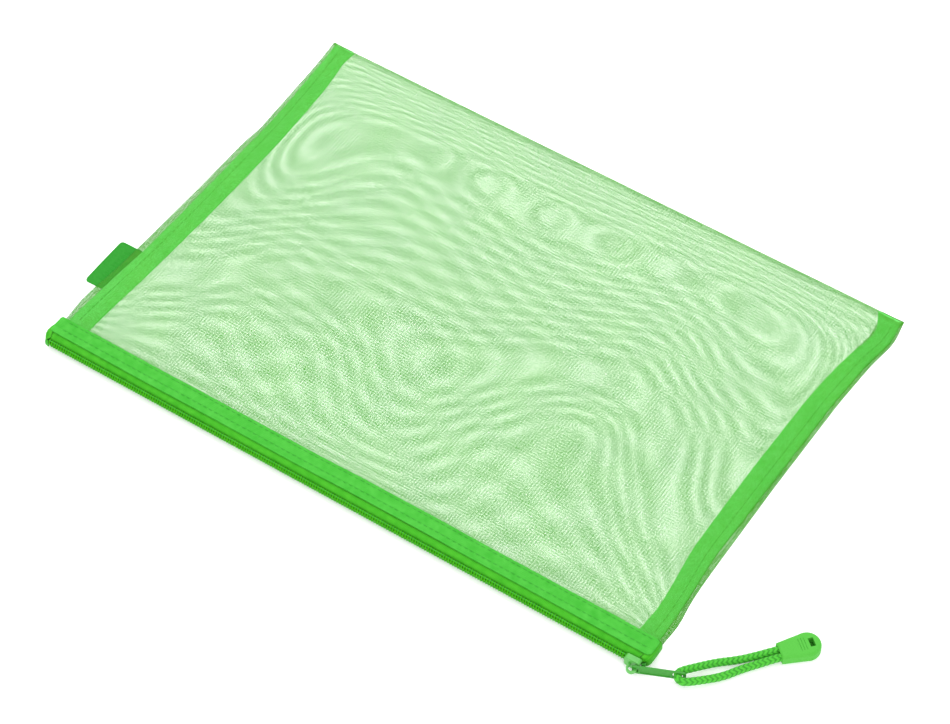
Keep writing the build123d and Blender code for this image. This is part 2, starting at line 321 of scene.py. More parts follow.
# %% [markdown]
# ## Mesh cloth
# The sheet is an open plain weave of green nylon threads. A flat see-through colour would be simpler,
# but each layer is seen through the other, and the two grids beat into the rings and waves of the
# photograph. So the weave is drawn thread by thread: a thread is opaque, and the gap beside it is empty.
# The threads are a little uneven, lie closer at the back fold and wider in the left margin. The loom's
# reed leaves faint bands on the upper layer, which give the cloth its fine grain.

# %% Mesh cloth
thread_pitch, reed_pitch = 0.3 * MM, 1.52 * MM
warp_share, weft_share = 0.26, 0.28
wobble_grain, wobble_size = 2200, 0.9
uneven_grain, uneven_size = 1500, 0.24
crease_at, crease_half, crease_closer = 0.2355, 4.5 * MM, 0.2
margin_at, margin_wider = 163 * MM, -0.05
band_at = 153 * MM
reed_fades_from, reed_fades_to = 30 * MM, 110 * MM
reed_left, reed_right = 0.29, 0.245


def yarn(tree, u, v):
    """How much more of its pitch a thread fills here than its usual share."""
    uneven = calc(tree, "MULTIPLY_ADD", noise(tree, uneven_grain, 0.0), uneven_size, -uneven_size / 2)
    from_fold = calc(tree, "ABSOLUTE", calc(tree, "SUBTRACT", v, crease_at))
    flat = calc(tree, "DIVIDE", from_fold, crease_half)
    crease = calc(tree, "MAXIMUM", calc(tree, "SUBTRACT", 1.0, flat), 0.0)
    uneven = calc(tree, "MULTIPLY_ADD", crease, crease_closer, uneven)
    left_margin = calc(tree, "LESS_THAN", u, -margin_at)
    return calc(tree, "MULTIPLY_ADD", left_margin, margin_wider, uneven)


def reed_strength(tree, u, v):
    """Reed bands lie on the upper layer between the bindings and are fainter to the right."""
    between_bands = calc(tree, "LESS_THAN", calc(tree, "ABSOLUTE", u), band_at)
    zone = calc(tree, "MULTIPLY", calc(tree, "GREATER_THAN", v, crease_at), between_bands)
    fading = ramp(tree, u, reed_fades_from, reed_fades_to, reed_left, reed_right)
    return calc(tree, "MULTIPLY", zone, fading)


def mesh_look(name):
    made, tree, shader = look(name, 0.55, Specular_IOR_Level=0.3)
    u, v = cloth_uv(tree)
    wobble = calc(tree, "MULTIPLY_ADD", noise(tree, wobble_grain, 1.0), wobble_size, -wobble_size / 2)
    thicker, strength = yarn(tree, u, v), reed_strength(tree, u, v)
    masks = []
    for value, share in ((u, warp_share), (v, weft_share)):
        place = calc(tree, "FRACT", calc(tree, "ADD", calc(tree, "DIVIDE", value, thread_pitch), wobble))
        band = calc(tree, "SUBTRACT", wave(tree, value, reed_pitch), 0.5)
        reed = calc(tree, "MULTIPLY", band, strength)
        thick = calc(tree, "ADD", calc(tree, "ADD", thicker, share), reed)
        masks.append(calc(tree, "LESS_THAN", place, thick))
    threads = calc(tree, "MAXIMUM", *masks)
    tree.links.new(threads, shader.inputs["Alpha"])
    shade(tree, shader, noise(tree, 40), paint(62, 170, 16), paint(92, 190, 40))
    return made


mesh_cloth = mesh_look("mesh_cloth")
print("mesh cloth has a thread every", round(thread_pitch / MM, 2), "mm")

# %% [markdown]
# ## Tapes and thread
# Ribbons and bindings are ribbed tape, the zip tape is a tighter weave, and the sewing thread is finer
# still. Ribs could be modelled, but they are only half a millimetre wide, so they are a bump and a
# painted shade, darker in the grooves, that share one pattern.


# %% Tape and thread looks
def tape_look(name, dark, light, rib, weft, roughness=0.75, depth=0.12):
    made, tree, shader = look(name, roughness, Specular_IOR_Level=0.15, Sheen_Weight=0.06)
    u, v = cloth_uv(tree)
    ribs = wave(tree, u, rib * MM)
    wefts = wave(tree, v, weft * MM)
    height = calc(tree, "MULTIPLY_ADD", wefts, 0.35, ribs)
    mottled = calc(tree, "MULTIPLY_ADD", noise(tree, 260), 0.9, -0.2)
    # The tone follows the rib height, a painted shade in the grooves, plus real mottling from noise.
    amount = calc(tree, "MULTIPLY_ADD", height, 0.35, mottled)
    shade(tree, shader, amount, paint(*dark), paint(*light))
    raise_surface(tree, shader, height, depth * MM)
    return made


binding_cloth = tape_look("binding_cloth", (100, 242, 96), (142, 264, 138), 0.55, 0.9)
ribbon_cloth = tape_look("ribbon_cloth", (46, 176, 32), (98, 216, 80), 0.55, 0.9)
zip_cloth = tape_look("zip_cloth", (42, 164, 10), (92, 210, 50), 0.7, 0.7)
thread_cloth = tape_look("thread_cloth", (44, 158, 36), (96, 212, 84), 0.35, 0.35, depth=0.05)
print("looks for binding, ribbon, zip tape and thread")

# %% [markdown]
# ## Hard looks
# The coils are drawn nylon, the slider and pull are enamelled metal, the cord end is a matte moulding
# with a fine grain and the label is a smooth soft moulding. A plain colour would look flat next to the
# cloth, so each has a speckle that shifts its tone and lifts its surface a little. The slider and its
# bail have the pull's green enamel with a painted highlight: a lighter copy of it.


# %% Nylon, enamel and moulded looks
def hard_look(name, dark, light, roughness, grain, depth, gloss=0.3):
    made, tree, shader = look(name, roughness, Specular_IOR_Level=gloss)
    speckle = noise(tree, grain, 4.0)
    shade(tree, shader, speckle, paint(*dark), paint(*light))
    raise_surface(tree, shader, speckle, depth * MM, 0.35)
    return made


coil_nylon = hard_look("coil_nylon", (52, 176, 2), (92, 212, 18), 0.45, 300, 0.05, 0.1)
enamel = hard_look("enamel", (36, 142, 24), (68, 170, 52), 0.32, 500, 0.02, 0.3)
# Painted highlight: the same green enamel as the pull, painted lighter for the slider and its bail.
enamel_painted_highlight = hard_look("enamel_painted_highlight", (70, 176, 58), (112, 208, 98), 0.3, 500, 0.02, 0.4)
grip_plastic = hard_look("grip_plastic", (80, 192, 56), (94, 204, 70), 0.6, 1500, 0.03)
label_rubber = hard_look("label_rubber", (34, 146, 32), (54, 168, 50), 0.5, 700, 0.03, 0.12)
print("looks for coil, pull, slider, cord end and label")

# %% [markdown]
# ## Line of the pull cord
# One braided cord is doubled through the eye of the pull tab, and the moulded end holds both its ends. A
# curve with a round bevel would give a plain tube. The braid has to be raised point by point, so the
# curve here only draws the smooth line along the CAD cord's own route, and even steps are read off it.

# %% Cord line
route = [
    (216.661, -73.597, 3.00), (211.197, -80.109, 3.00), (206.690, -85.247, 2.40),
    (200.675, -91.871, 2.20), (193.492, -98.098, 2.30), (186.615, -106.915, 3.45),
    (182.725, -112.329, 4.25), (182.949, -114.888, 4.25), (184.916, -116.538, 4.25),
    (187.474, -116.315, 4.25), (192.131, -111.543, 3.45), (199.620, -103.240, 2.30),
    (204.505, -95.085, 2.20), (209.984, -88.011, 2.40), (214.261, -82.680, 3.00),
    (219.725, -76.168, 3.00),
]
cord_step = 0.14


def smooth_route(points):
    """Points read from one NURBS spline that has the route as its control points."""
    guide = bpy.data.curves.new("cord_line", "CURVE")
    guide.dimensions = "3D"
    spline = guide.splines.new("NURBS")
    spline.points.add(len(points) - 1)
    for point, place in zip(spline.points, points):
        point.co = (*(np.array(place) * MM), 1.0)
    spline.order_u = 3
    spline.use_endpoint_u = True
    spline.resolution_u = 64
    holder = bpy.data.objects.new("cord_line", guide)
    drawn = holder.to_mesh()
    line = np.array([v.co for v in drawn.vertices]) / MM
    holder.to_mesh_clear()
    bpy.data.objects.remove(holder)
    return line


line = smooth_route(route)
steps = np.concatenate([[0.0], np.cumsum(np.linalg.norm(np.diff(line, axis=0), axis=1))])
cord_length = steps[-1]
places = np.linspace(0, cord_length, int(cord_length / cord_step))
centre = np.stack([np.interp(places, steps, line[:, k]) for k in range(3)], 1)
print("cord length", round(cord_length, 2), "mm")

# %% [markdown]
# ## Braid
# The braid shows as four columns of V-shaped plaits. Real strands could be woven round each other, at a
# great cost in points. At this size the eye sees only their crowns and grooves, so these are raised on
# one tube, and their height is kept as an attribute that sets a painted shade in the grooves.

# %% Braid
cord_radius, braid_low, braid_rise = 1.9, 0.87, 0.15
around_count, column_count = 48, 4
plait_length, plait_lean, plait_fullness = 2.35, 1.2, 0.55
crown_full, crown_fall = 1.25, 1.6
groove_deep, groove_wide = 0.5, 0.06
heading = np.gradient(centre, axis=0)
heading /= np.linalg.norm(heading, axis=1)[:, None]
across = np.cross(heading, (0, 0, 1.0))
across /= np.linalg.norm(across, axis=1)[:, None]
upward = np.cross(across, heading)
angle = circle(around_count)
column = (angle[None, :] * column_count / (2 * math.pi) + 0.5) % 1 - 0.5
plait = (places[:, None] / plait_length - plait_lean * np.abs(column)) % 1
groove = groove_deep * np.exp(-((column / groove_wide) ** 2))
crown = np.clip(crown_full - crown_fall * np.abs(column) ** 2 - groove, 0, 1)
raised = np.sin(math.pi * plait) ** plait_fullness * crown
radius = cord_radius * (braid_low + braid_rise * raised)
sideways = across[:, None, :] * np.cos(angle)[None, :, None]
ring = sideways + upward[:, None, :] * np.sin(angle)[None, :, None]
rings = centre[:, None, :] + ring * radius[:, :, None]
around = np.linspace(0, 2 * math.pi * cord_radius, around_count + 1)
print("braid of", column_count, "columns,", len(places), "rings")

# %% [markdown]
# The look takes a painted shade from the height of the plaits, darker in the grooves, with some fibre
# noise.

# %% Braided cord
plait_shade_contrast = 1.5
cord_cloth, cord_tree, cord_shader = look("cord_cloth", 0.6, Specular_IOR_Level=0.3, Sheen_Weight=0.1)
# Painted shade: the braid is darker in its grooves and lighter on the plait crowns.
plait_shade = put(cord_tree, "ShaderNodeAttribute", attribute_name="plait_shade")
fibre = calc(cord_tree, "MULTIPLY_ADD", noise(cord_tree, 900), 0.5, -0.2)
tone = calc(cord_tree, "ADD", plait_shade.outputs["Fac"], fibre)
shade(cord_tree, cord_shader, tone, paint(24, 132, 10), paint(82, 208, 52))
raise_surface(cord_tree, cord_shader, noise(cord_tree, 1600), 0.08 * MM)

cord = add_piece("braided_cord", *swept(rings, places, around), "cord", ["pull_cord"], "cord", cord_cloth)
# The plait height is stored as the braid's painted groove shade.
plait_shade_data = cord.data.attributes.new("plait_shade", "FLOAT", "POINT")
plait_shade_data.data.foreach_set("value", (raised ** plait_shade_contrast).astype(np.float32).ravel())

# %% [markdown]
# ## Slack of the upper layer
# The sheet lies on the table below and stands about seven millimetres clear above it. The upper layer is
# held up by the zip at the front and sags towards the middle and the seams. A cloth simulation finds a
# sag of its own, not the one in the photograph, so the heights are given every 27 mm, from the
# front row to the back row, with a smooth spline between.

# %% Survey of the slack sheet
survey_step = 27.0
survey_start = (-7 * survey_step, -5 * survey_step + 6.0)
survey = np.array([
    (5.5, 5.6, 6.2, 6.8, 7.0, 7.0, 6.6, 6.4, 6.6, 7.4, 7.6, 7.4, 6.8, 6.4, 6.4),
    (5.6, 5.8, 6.9, 6.4, 6.8, 6.5, 5.9, 6.2, 6.2, 7.0, 7.4, 7.0, 7.0, 5.6, 6.2),
    (3.9, 3.4, 6.2, 6.7, 5.7, 6.0, 5.4, 4.4, 5.5, 6.7, 6.5, 6.6, 6.1, 3.6, 5.6),
    (4.7, 4.5, 2.7, 5.5, 5.3, 5.3, 3.7, 3.3, 5.1, 5.8, 5.6, 6.0, 2.9, 4.4, 4.5),
    (5.4, 6.8, 5.1, 2.7, 3.0, 2.7, 2.9, 2.4, 3.2, 5.2, 6.6, 2.9, 4.2, 7.6, 3.4),
    (5.5, 5.7, 6.6, 5.4, 5.2, 4.3, 4.5, 4.3, 2.8, 2.5, 2.7, 2.9, 5.4, 5.8, 4.1),
    (6.2, 5.4, 8.2, 6.5, 5.6, 5.6, 5.0, 5.0, 5.4, 4.6, 3.7, 5.9, 5.9, 7.6, 6.3),
    (6.3, 5.5, 8.3, 7.0, 6.5, 7.0, 7.1, 7.5, 6.6, 6.3, 5.5, 6.5, 7.1, 6.6, 6.6),
    (5.5, 5.2, 6.6, 7.8, 8.4, 8.0, 7.9, 8.0, 8.4, 8.2, 8.1, 8.8, 7.4, 5.2, 5.6),
    (3.1, 3.2, 3.3, 3.1, 3.0, 3.2, 3.3, 3.2, 3.1, 3.1, 3.2, 3.0, 3.0, 3.2, 3.1),
    (0.9, 0.8, 0.7, 0.6, 0.8, 0.9, 0.7, 0.8, 0.8, 0.7, 0.9, 0.8, 0.7, 0.9, 0.8),
])
last_row, last_column = survey.shape[0] - 1, survey.shape[1] - 1


def spline_weight(t):
    t = np.abs(t)
    near = (4 - 6 * t**2 + 3 * t**3) / 6
    far = np.clip(2 - t, 0, 2) ** 3 / 6
    return np.where(t < 1, near, np.where(t < 2, far, 0.0))


def surveyed(x, y):
    """Height of the slack upper sheet between the survey points."""
    across, deep = (x - survey_start[0]) / survey_step, (y - survey_start[1]) / survey_step
    first_x, first_y = np.floor(across).astype(int) - 1, np.floor(deep).astype(int) - 1
    total = np.zeros(np.broadcast(across, deep).shape)
    for i in range(4):
        for j in range(4):
            height = survey[np.clip(first_y + j, 0, last_row), np.clip(first_x + i, 0, last_column)]
            height = height * spline_weight(across - first_x - i)
            total = total + height * spline_weight(deep - first_y - j)
    return total


print("slack sheet stands", survey.min(), "to", survey.max(), "mm high")

# %% [markdown]
# ## Edges of the bag
# The sewn sides aren't straight: the thread pulls them in here and lets them out there. A straight edge
# with noise on it would wander in the wrong places, so each side, and each edge of the binding in it, is
# a soft line through a few points that were measured on the photograph.

# %% Side edges and bands
line_end, line_step, line_softness, line_window = 140, 0.5, 4.0, 30


def smooth_line(*points):
    """A soft line x(y) through measured points (y, x)."""
    points = np.array(sorted(points))
    y = np.arange(-line_end, line_end + 1, line_step)
    x = np.interp(y, points[:, 0], points[:, 1])
    kernel = np.exp(-((np.arange(-line_window, line_window + 1) * line_step / line_softness) ** 2) / 2)
    x = np.convolve(np.pad(x, line_window, "edge"), kernel / kernel.sum(), "valid")
    return lambda value: np.interp(value, y, x)


left_edge = smooth_line(
    (-118, -168.6), (-108, -168.9), (-100, -169.8), (-88, -171.4), (-78, -171.1), (-60, -169.2),
    (-40, -168.3), (0, -166.7), (40, -165.9), (49, -164.4), (60, -164.8),
    (100, -165.8), (112, -166.6), (119, -167.3),
)
right_edge = smooth_line(
    (-118, 168.6), (-108, 168.7), (-100, 169.0), (-90, 169.4), (-80, 167.4), (-68, 166.5), (-50, 166.2),
    (0, 165.8), (60, 166.3), (90, 168.0), (104, 170.4), (112, 169.6), (119, 167.8),
)
left_band_outer = smooth_line(
    (-106, -167.0), (-100, -167.4), (-80, -167.3), (-40, -164.2), (0, -163.2), (60, -162.0), (110, -164.2),
    (118, -165.2),
)
left_band_inner = smooth_line(
    (-106, -156.4), (-80, -156.5), (-60, -155.0), (-40, -154.0), (0, -152.3), (50, -151.5), (90, -152.8),
    (105, -154.5), (113, -156.0), (119, -154.0),
)
right_band_outer = smooth_line(
    (-106, 166.6), (-100, 166.4), (-80, 165.2), (-50, 162.9), (0, 163.5), (60, 164.2), (90, 166.0),
    (104, 168.6), (112, 168.2), (118, 166.8),
)
right_band_inner = smooth_line(
    (-106, 156.2), (-88, 156.9), (-75, 155.6), (-50, 152.7), (0, 152.3), (50, 153.0), (70, 154.2),
    (90, 156.7), (100, 159.6), (108, 160.2), (114, 158.3), (119, 153.5),
)
print("bag is", round(float(right_edge(0) - left_edge(0)), 1), "mm wide in the middle")

# %% [markdown]
# ## Height of both layers
# At the sides both layers roll into the seam, at the back the upper one comes down to the fold, and
# behind the ribbon it starts level with the zip. Each of these could be a lattice or a shape key. As
# formulas they also serve the bindings and stitches that have to follow the seam.

# %% Upper and lower layer
sleeve_low, sleeve_high = span("mesh_sleeve")
ribbon_low, ribbon_high = span("upper_mouth_ribbon")
back_y = sleeve_high[1]
mouth_y = sleeve_low[1]
fold_radius = 0.8
seam_low, seam_climb, climb_from, climb_run = 1.3, 2.6, -72, 42
seam_roll, seam_lift, seam_tight = 1.4, 0.9, 0.6
gather_height, gather_length, gather_start = 0.24, 5.7, 80
gather_x, gather_half, gather_fade, gather_y, gather_deep = -10, 75, 20, 79, 9
zip_height, zip_fade, fold_fade = 7.75, 10, 2.0
side_reach, front_tighter, front_from, front_run = 5.5, 2.0, -70, 40
table_gap, lip_lift, lip_width, lip_run, lower_reach = 0.12, 0.55, 9.5, 4, 6


def seam_z(y):
    """Height of the side seam, which climbs to the zip at the front."""
    return seam_low + seam_climb * ease((climb_from - y) / climb_run)


def from_side(x, y):
    return np.minimum(x - left_edge(y), right_edge(y) - x)


def gathers(x, y):
    """Small folds across the slack sheet, in front of the back fold."""
    row = np.exp(-(((y - gather_y) / gather_deep) ** 2))
    fading = ease((gather_half - np.abs(x - gather_x)) / gather_fade)
    return gather_height * np.cos((x + gather_start) / gather_length) * row * fading


def upper_z(x, y):
    side = from_side(x, y)
    rear = np.maximum(back_y - fold_radius - y, 0)
    behind_ribbon = np.maximum(y - ribbon_high[1], 0)
    roof = surveyed(x, y) + gathers(x, y)
    roof = roof + (zip_height - roof) * np.exp(-behind_ribbon / zip_fade)
    roof = 2 * fold_radius + (roof - 2 * fold_radius) * (1 - np.exp(-rear / fold_fade))
    low = seam_z(y)
    reach = side_reach - front_tighter * ease((front_from - y) / front_run)
    risen = 1 - np.exp(-np.maximum(side - seam_tight, 0) / reach)
    return low + seam_lift * quarter_round(side / seam_roll) + (roof - low - seam_lift) * risen


def lower_z(x, y):
    side = from_side(x, y)
    rolled = quarter_round(side / seam_roll)
    floor = table_gap + lip_lift * (1 - ease((y - mouth_y - lip_width) / lip_run))
    low = seam_z(y)
    return floor + (low - floor) * (1 - rolled) * np.exp(-np.maximum(side, 0) / lower_reach)


print("height in the middle", round(float(upper_z(np.array(0.0), np.array(0.0))), 2), "mm")

# %% [markdown]
# ## Mesh sleeve
# One sheet runs from the lower lip to the back, turns over the fold and comes forward to the upper lip.
# At each side it rolls over the seam, and its raw edge goes back inside the binding. Two separate layers
# would do for the look, but the bag is cut as one sheet, so it is one grid of rows. On the cloth, the
# upper layer is a trace askew and stretched against the lower one, which sets how wide the rings are.

# %% Rows of the sheet
columns = np.concatenate([
    np.linspace(0, 0.035, 12), np.linspace(0.035, 0.965, 260)[1:-1], np.linspace(0.965, 1, 12),
])
hem = np.array([12.0, 8.0, 4.0, 1.5, 0.5])
hem_gap = 0.12
skew, stretch = 0.0045, 0.014
flat_y = np.linspace(mouth_y, back_y - fold_radius, 200)
bend = np.linspace(-90, 90, 11)[1:-1]
rows = [(y, -1, 0) for y in flat_y]
rows += [(back_y - fold_radius, 0, turn) for turn in bend]
rows += [(y, 1, 0) for y in flat_y[::-1]]


def row_x(y):
    left, right = float(left_edge(y)), float(right_edge(y))
    return left, right, left + columns * (right - left)


def row_points(y, layer, turn):
    """One row of the lower (-1) or upper (1) layer, or of the fold (0), with the hems inside the seams."""
    left, right, x = row_x(y)
    yy = np.full_like(x, y)
    rise, shift = math.sin(math.radians(turn)), 0.0
    if layer:
        z = upper_z(x, yy) if layer > 0 else lower_z(x, yy)
    else:
        low, high = lower_z(x, yy), upper_z(x, yy)
        z = (low + high) / 2 + (high - low) / 2 * rise
        shift = fold_radius * math.cos(math.radians(turn))
    hem_y = np.full(len(hem), y + shift)
    hem_z = np.full(len(hem), float(seam_z(np.array(y))) + hem_gap * (layer if layer else rise))
    left_hem = np.stack([left + hem, hem_y, hem_z], 1)
    right_hem = np.stack([right - hem[::-1], hem_y, hem_z], 1)
    return np.vstack([left_hem, np.stack([x, yy + shift, z], 1), right_hem])


def row_on_cloth(y, layer, run):
    """Where the row lies on the flat cloth, run millimetres from the lower lip."""
    left, right, x = row_x(y)
    along = np.concatenate([left - hem, x, right + hem[::-1]])
    if layer <= 0:
        return np.stack([along, np.full_like(along, run)], 1)
    drift = 0.05 * np.sin(along / 19 + y / 27) + 0.04 * np.sin(y / 13 - along / 37)
    return np.stack([along * (1 + stretch) + skew * y + drift, run - skew * along + drift[::-1]], 1)


print("sheet of", len(rows), "rows and", len(columns) + 2 * len(hem), "columns")

# %% [markdown]
# The rows are joined into one open surface. Its flat size is the wallet's width with a hem at both
# sides, by the length that the rows run from lip to lip.

# %% Mesh sleeve
points, laid, run = [], [], 0.0
for k, (y, layer, turn) in enumerate(rows):
    if k:
        run += abs(y - rows[k - 1][0]) if layer else math.pi * fold_radius / (len(bend) + 1)
    points.append(row_points(y, layer, turn))
    laid.append(row_on_cloth(y, layer, run))
points, laid = np.array(points), np.array(laid)
sleeve = add_piece("mesh_bag", *grid(points, laid), "pouch", ["mesh_sleeve"], "mesh", mesh_cloth)

# %% [markdown]
# ## Side bindings
# A folded tape holds the raw edges inside each side seam. It follows the seam's small waves and shows
# through the mesh as a solid green band. A flat strip would look the same from above, but the fold shows
# at the open ends, so the section goes over the edges, round the fold and back inside.

# %% Side bindings
binding_width, binding_half, tuck_half = 11.0, 0.85, 0.38
stitch_share, stitch_dip, dip_width = 0.61, 0.16, 0.05
upper_taper, lower_taper, fold_bulge, tuck_start = 0.25, 0.2, 0.07, 0.06
ripple_height, ripple_length = 0.14, 5.0


def binding_section():
    """Share of the width and height above the seam, round the folded tape."""
    section = []
    for t in np.linspace(1, 0, 9):
        dip = stitch_dip * math.exp(-(((t - stitch_share) / dip_width) ** 2))
        section.append((t, binding_half - dip - upper_taper * max(t - stitch_share, 0)))
    for turn in np.linspace(90, 270, 7)[1:-1]:
        a = math.radians(turn)
        section.append((fold_bulge * math.cos(a), binding_half * math.sin(a)))
    for t in np.linspace(0, 1, 7):
        section.append((t, -binding_half + lower_taper * max(t - stitch_share, 0)))
    for t in np.linspace(1, tuck_start, 6):
        section.append((t, -tuck_half))
    for t in np.linspace(tuck_start, 1, 6):
        section.append((t, tuck_half))
    return np.array(section).T


def binding(side, name, node, outer_line, inner_line):
    y = np.linspace(ribbon_low[1] + 4, back_y - 1.4, 190)
    outer, inner = np.abs(outer_line(y)), np.abs(inner_line(y))
    share, level = binding_section()
    rings = []
    for k in range(len(y)):
        x = side * (inner[k] + share * (outer[k] - inner[k]))
        ripple = ripple_height * np.sin(y[k] / ripple_length + share * 3 + side) * np.clip(share, 0, 1)
        z = float(seam_z(y[k])) + level + ripple
        ring = np.stack([x, np.full(len(x), y[k]), z], 1)
        rings.append(ring if side > 0 else ring[::-1])
    around = perimeter(np.stack([share * binding_width, level], 1))
    add_piece(name, *swept(np.array(rings), y, around), "pouch", [node], "binding", binding_cloth)
    return inner + stitch_share * (outer - inner), y


left_row, binding_y = binding(
    -1, "left_binding", "left_seam_binding", left_band_outer, left_band_inner,
)
right_row, binding_y = binding(
    1, "right_binding", "right_seam_binding", right_band_outer, right_band_inner,
)

# %% [markdown]
# ## Mouth ribbons
# A ribbon covers each mesh edge at the mouth. Two rows of stitches pull shallow grooves into it, and it
# lifts and sways a little along its length. A plane with a thickness modifier would have hard ends, so
# the outline with its grooves is swept along and drawn in at the corners.

# %% Mouth ribbons
stitch_rows, stitch_length, stitch_step = (1.6, 6.6), 2.3, 3.2
groove_width, groove_depth, pucker_height = 0.45, 0.14, 0.03
edge_round, edge_thin, edge_full = 0.35, 0.45, 0.55
over_left, over_right = 0.6, 0.3
upper_sway, lower_sway = 0.6, 0.3
end_zone, left_corner, right_corner = 3, 1.2, 2.6
across_count = 41


def ribbon_lift(x):
    return 0.12 * np.sin(x / 23.0) + 0.06 * np.sin(x / 7.3 + 1)


def ribbon_sway(x):
    return 0.35 * np.sin(x / 47.0 + 0.6) + 0.15 * np.sin(x / 15.0)


def rounded_end(from_end, radius):
    return radius * (1 - quarter_round(from_end / radius))


def ribbon_outline(width, thick):
    across = np.linspace(0, width, across_count)
    groove = sum(np.exp(-((width - across - row) / groove_width) ** 2) for row in stitch_rows)
    rounded = quarter_round(np.minimum(across, width - across) / edge_round)
    top = thick * (edge_thin + edge_full * rounded) - groove_depth * groove
    return np.vstack([np.stack([across, top], 1), np.stack([across[::-1], np.zeros(across_count)], 1)])


def ribbon(name, node, face):
    low, high = span(node)
    first, last = low[0] - over_left, high[0] + over_right
    middle = np.linspace(first + end_zone, last - end_zone, 396)[1:-1]
    x = np.concatenate([
        np.linspace(first, first + end_zone, 14), middle, np.linspace(last - end_zone, last, 14),
    ])
    width, thick = high[1] - low[1], high[2] - low[2]
    outline = ribbon_outline(width, thick)
    rings = []
    for value in x:
        lift = ribbon_lift(value) if face > 0 else 0.0
        pucker = pucker_height * np.sin(value * 2 * math.pi / stitch_step) * (outline[:, 1] > 0.01)
        z = outline[:, 1] + pucker * face
        z = low[2] + lift + z if face > 0 else high[2] - np.clip(z, 0, thick)
        inset = rounded_end(value - first, left_corner) + rounded_end(last - value, right_corner)
        sway = ribbon_sway(value) * (upper_sway if face > 0 else lower_sway)
        y = low[1] + sway + inset + outline[:, 0] * (1 - 2 * inset / width)
        ring = np.stack([np.full(len(y), value), y, z], 1)
        rings.append(ring[::-1] if face > 0 else ring)
    skin = swept(np.array(rings), x, perimeter(outline))
    return add_piece(name, *skin, "pouch", [node], "ribbon", ribbon_cloth)


ribbon("upper_ribbon", "upper_mouth_ribbon", 1)
ribbon("lower_ribbon", "lower_mouth_ribbon", -1)

# %% [markdown]
# ## Zip tapes
# Each tape lies flat under its ribbon, rolls over at the mouth and ends in the chain. The closed end
# turns in towards the side seam.

# %% Zip tapes
chain_z = (span("upper_zip_coil")[1][2] + span("lower_zip_coil")[0][2]) / 2
front_y = span("upper_zip_coil")[0][1]
tape_low, tape_high = span("upper_zip_tape")
tape_level, tape_thick, tape_sway, tape_lift = 3.05, 0.55, 0.3, 0.5
turn_start, turn_radius, turn_share = 166.4, 2.2, 0.98
turn_behind, turn_blend = -110.0, 6.0
lip_y, lip_blend = -117, 4


def turn_in(points):
    """The closed end of the zip curves back towards the side seam, just past the slider."""
    points = np.array(points, float)
    past = np.clip(points[..., 0] - turn_start, 0, turn_radius * turn_share)
    back = turn_radius - np.sqrt(turn_radius ** 2 - past ** 2)
    near = np.clip((turn_behind - points[..., 1]) / turn_blend, 0, 1)
    points[..., 1] += back * near
    return points


def zip_tape(name, node, sign):
    flat = chain_z + sign * tape_level
    line = [
        (-105.6, flat), (-108.5, flat), (-111.5, flat), (-114.0, flat), (-115.6, flat - sign * 0.08),
        (-116.7, flat - sign * 0.4), (-117.4, flat - sign * 0.95), (-117.66, flat - sign * 1.5),
        (-117.7, flat - sign * 1.9), (-117.7, flat - sign * 2.15),
    ]
    outline = strip(line, tape_thick)
    free = ease((outline[:, 0] - lip_y) / lip_blend)
    x = np.linspace(tape_low[0], tape_high[0], 360)
    rings = []
    for value in x:
        lift = ribbon_lift(value) * tape_lift if sign > 0 else 0.0
        y = outline[:, 0] + ribbon_sway(value) * tape_sway * free
        z = outline[:, 1] + lift * free
        ring = np.stack([np.full(len(y), value), y, z], 1)
        rings.append(ring if sign > 0 else ring[::-1])
    rings = turn_in(rings)
    piece = add_piece(name, *swept(rings, x, perimeter(outline)), "pouch", [node], "zip_tape", zip_cloth)
    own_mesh(piece)
    return piece


zip_tape("upper_tape", "upper_zip_tape", 1)
zip_tape("lower_tape", "lower_zip_tape", -1)

# %% [markdown]
# ## Folded tape ends
# At each end of the mouth the tape is folded round the corner, so that the side of the mouth is closed.
# It could be one tape bent all the way round, but the lips have to part and the ends don't, so each end
# is a piece of its own that stands upright, bulges in the middle and rolls in towards the chain.

# %% Folded tape ends
end_thick, end_bottom, end_gap = 0.5, 0.7, 0.05
roll_share, roll_from, roll_run = 1.5 / 3.6, -115.0, 3.0
bulge_out, bulge_round, bulge_from, bulge_run = 0.5, 3.4, -119.5, 2.0
chain_front = -116.6


def end_fold(name, line, stop_at=0.0):
    """Upright tape that follows line, points (y, x). At the chain it keeps stop_at from the middle."""
    outline = strip(line, end_thick)
    rolled = 1 - roll_share * np.clip((roll_from - outline[:, 0]) / roll_run, 0, 1) ** 2
    fade = np.clip((outline[:, 0] - bulge_from) / bulge_run, 0, 1)
    z = np.linspace(end_bottom, ribbon_low[2] - end_gap, 24)
    rings = []
    for value in z:
        off = abs(2 * (value - z[0]) / (z[-1] - z[0]) - 1)
        bulge = (bulge_out - bulge_round * (1 - math.sqrt(1 - off**4))) * fade
        out = np.abs(outline[:, 1]) + bulge
        out = np.where(outline[:, 0] < chain_front, np.maximum(out, stop_at), out)
        x = np.sign(outline[:, 1]) * out
        rings.append(np.stack([x, outline[:, 0], chain_z + (value - chain_z) * rolled], 1))
    if line[0][1] < 0:
        rings = [ring[::-1] for ring in rings]
    skin = swept(np.array(rings), z, perimeter(outline))
    return add_piece(name, *skin, "pouch", [], "zip_tape", zip_cloth)


right_fold = [
    (-105.6, 168.9), (-109.0, 169.0), (-112.5, 169.0), (-115.0, 168.9), (-116.4, 168.5), (-117.3, 167.8),
]
left_fold = [
    (-105.6, -168.8), (-109.0, -169.5), (-112.0, -170.2), (-114.4, -170.4), (-116.2, -170.0),
    (-117.4, -169.4), (-118.4, -168.9), (-119.1, -168.4), (-119.6, -167.8),
    (-119.78, -167.2), (-119.8, -166.6),
]
end_fold("right_end_fold", right_fold)
end_fold("left_end_fold", left_fold, 166.5)
